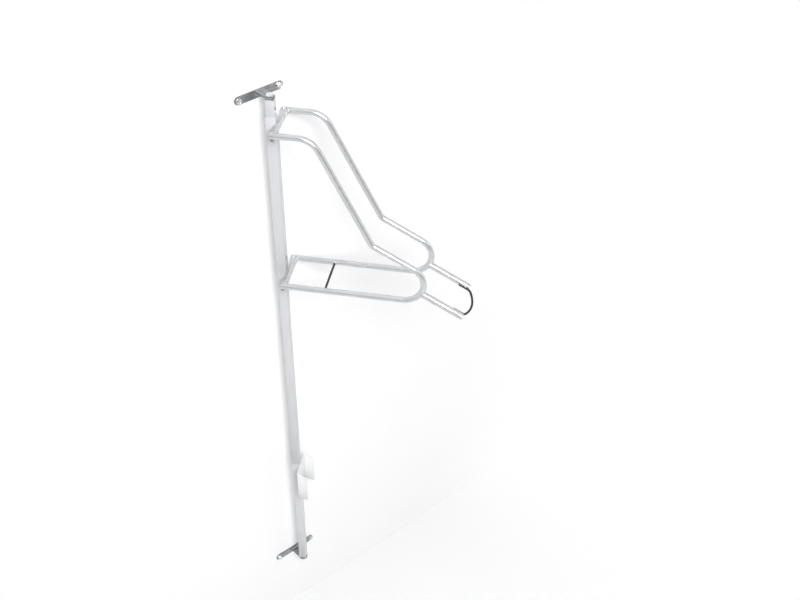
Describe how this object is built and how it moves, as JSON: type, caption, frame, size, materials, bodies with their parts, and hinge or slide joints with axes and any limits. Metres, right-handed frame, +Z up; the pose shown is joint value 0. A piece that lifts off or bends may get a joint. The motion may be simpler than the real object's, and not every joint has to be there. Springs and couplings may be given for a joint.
{
  "type": "bicycle hanger rack",
  "caption": "Swivelling wall rack that holds a bicycle upright: a tall square post between two wall brackets, with a bent tube cradle for the upper wheel and a guide for the lower one.",
  "frame": {"origin": "middle of the four wall bolts, on the wall plane", "axes": "+Z up along the post, +Y into the wall, +X along the wall to the right as seen from the room"},
  "size_m": [0.5025, 0.5928, 1.9525],
  "materials": {
    "tube_zinc": "bright zinc plated tube with a soft gloss",
    "post_silver": "light silver grey powder coat",
    "bracket_steel": "plated flat steel",
    "bolt_zinc": "bright zinc plated bolts",
    "screw_steel": "plain steel screws",
    "rod_coating": "black plastic coating on a steel rod",
    "guide_white": "white powder coat",
    "slide_plastic": "black bearing plastic"
  },
  "bodies": {
    "wall_brackets": {"upper_wall_bar": "bracket_steel", "upper_arm": "bracket_steel", "lower_wall_bar": "bracket_steel", "lower_arm": "bracket_steel", "wall_bolts": "bolt_zinc", "wall_washers": "bolt_zinc", "pivot_bolts": "bolt_zinc", "slide_washers": "slide_plastic"},
    "swivel": {"lower_post": "post_silver", "middle_post": "post_silver", "top_post": "post_silver", "post_joiner": "bracket_steel", "end_plugs": "slide_plastic", "sleeve": "post_silver", "upper_cross_tube": "tube_zinc", "lower_cross_tube": "tube_zinc", "left_side_tube": "tube_zinc", "right_side_tube": "tube_zinc", "left_extension": "tube_zinc", "right_extension": "tube_zinc", "inner_rest_rod": "rod_coating", "outer_rest_rod": "rod_coating", "post_screws": "screw_steel", "wheel_guide": "guide_white", "guide_screws": "screw_steel"}
  },
  "joints": [
    {"name": "post_swivel", "type": "hinge", "parent": "wall_brackets", "child": "swivel", "pos_m": [0, -0.056, 0], "axis": [0, 0, 1], "range_deg": [-89, 11]}
  ]
}
